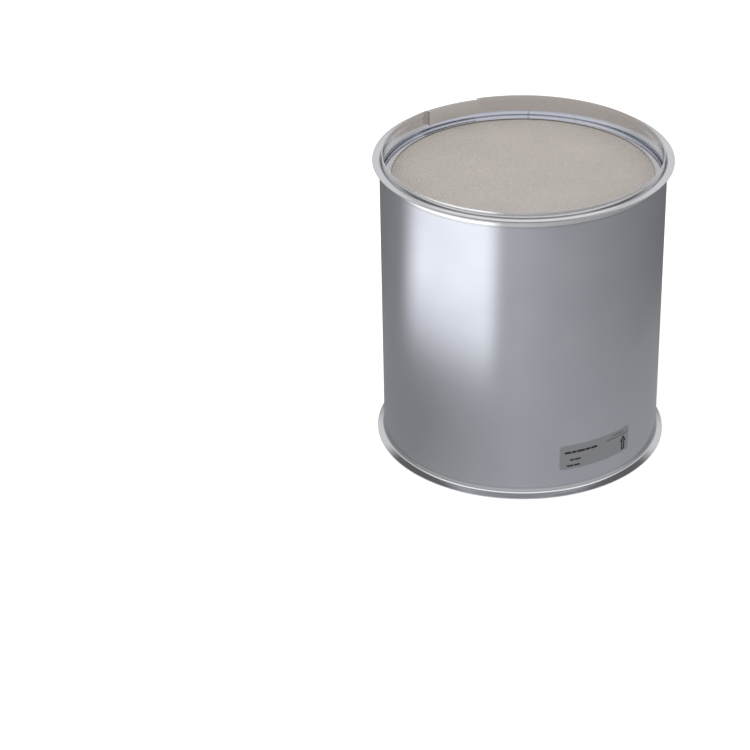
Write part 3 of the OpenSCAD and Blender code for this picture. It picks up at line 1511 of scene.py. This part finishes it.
    def rise(
        self, tree: bpy.types.NodeTree, value: bpy.types.NodeSocket, start: float, end: float
    ) -> bpy.types.NodeSocket:
        """Rise smoothly from zero to one as a value goes from start to end.

        Args:
            tree: the tree that gets the node.
            value: the value that is watched.
            start: where the level leaves zero.
            end: where it reaches one.

        Returns:
            The level's socket.
        """
        low, high = sorted((start, end))
        first, last = (0.0, 1.0) if start < end else (1.0, 0.0)
        level = add_node(
            tree,
            "ShaderNodeMapRange",
            {0: value, 1: low, 2: high, 3: first, 4: last},
            interpolation_type="SMOOTHSTEP",
        )
        return level.outputs[0]

    def room(self) -> None:
        """Light the room evenly, and show the steel its own soft boxes."""
        world = bpy.data.worlds.new("studio_room")
        world.use_nodes = True
        world.cycles.sampling_method = "NONE"
        tree = world.node_tree
        tree.nodes.clear()
        ray = add_node(tree, "ShaderNodeTexCoord").outputs["Generated"]
        heading = self.heading(tree, ray)
        away = add_node(tree, "ShaderNodeMath", {0: heading}, operation="ABSOLUTE")
        up = add_node(tree, "ShaderNodeSeparateXYZ", {0: ray}).outputs["Z"]
        climb = add_node(tree, "ShaderNodeMath", {0: up}, operation="ARCSINE")
        height = add_node(tree, "ShaderNodeMath", {0: climb.outputs[0]}, operation="DEGREES")
        level = add_node(
            tree,
            "ShaderNodeMix",
            {
                0: self.rise(tree, away.outputs[0], *self.side_blend),
                2: level_ramp(tree, height.outputs[0], self.front_room),
                3: level_ramp(tree, height.outputs[0], self.back_room),
            },
        )
        mirrored = add_node(
            tree,
            "ShaderNodeBackground",
            {"Color": linear("#fdfdff"), "Strength": level.outputs[0]},
        )
        plain = add_node(tree, "ShaderNodeBackground", {"Color": linear("#ffffff"), "Strength": 1.0})
        kind = add_node(tree, "ShaderNodeLightPath").outputs["Is Glossy Ray"]
        both = add_node(
            tree, "ShaderNodeMixShader", {0: kind, 1: plain.outputs[0], 2: mirrored.outputs[0]}
        )
        add_node(tree, "ShaderNodeOutputWorld", {"Surface": both.outputs[0]})
        bpy.context.scene.world = world

    def lamp(self) -> None:
        """Hang one large soft box over the front left, for the matt pieces."""
        place = Vector(self.lamp_place)
        box = bpy.data.lights.new("key_box", "AREA")
        box.shape = "SQUARE"
        box.size = self.lamp_size
        box.energy = self.lamp_power
        holder = bpy.data.objects.new("key_box", box)
        holder.location = place
        aim = Vector((0.0, 0.0, 0.2))
        holder.rotation_euler = (aim - place).to_track_quat("-Z", "Y").to_euler()
        holder.visible_glossy = False
        bpy.context.scene.collection.objects.link(holder)

    def camera(self) -> None:
        """Stand the camera in front, above and looking down."""
        data = bpy.data.cameras.new("studio_camera")
        data.lens = self.lens
        data.sensor_width = 36.0
        data.clip_end = 50.0
        holder = bpy.data.objects.new("studio_camera", data)
        turn = (
            Euler((math.radians(90 - self.pitch), 0.0, math.radians(self.yaw))).to_matrix()
            @ Matrix.Rotation(math.radians(self.roll), 3, "Z")
        )
        holder.matrix_world = Matrix.Translation(self.camera_place) @ turn.to_4x4()
        bpy.context.scene.collection.objects.link(holder)
        bpy.context.scene.camera = holder


def main() -> None:
    """Build the canister and its studio."""
    logging.basicConfig(level=logging.INFO, format="%(name)s %(message)s")
    Studio().build()
    can = Can()
    can.build()
    EndRings(can).build()
    Filter(can).build()
    Label(can).build()


if __name__ == "__main__":
    main()
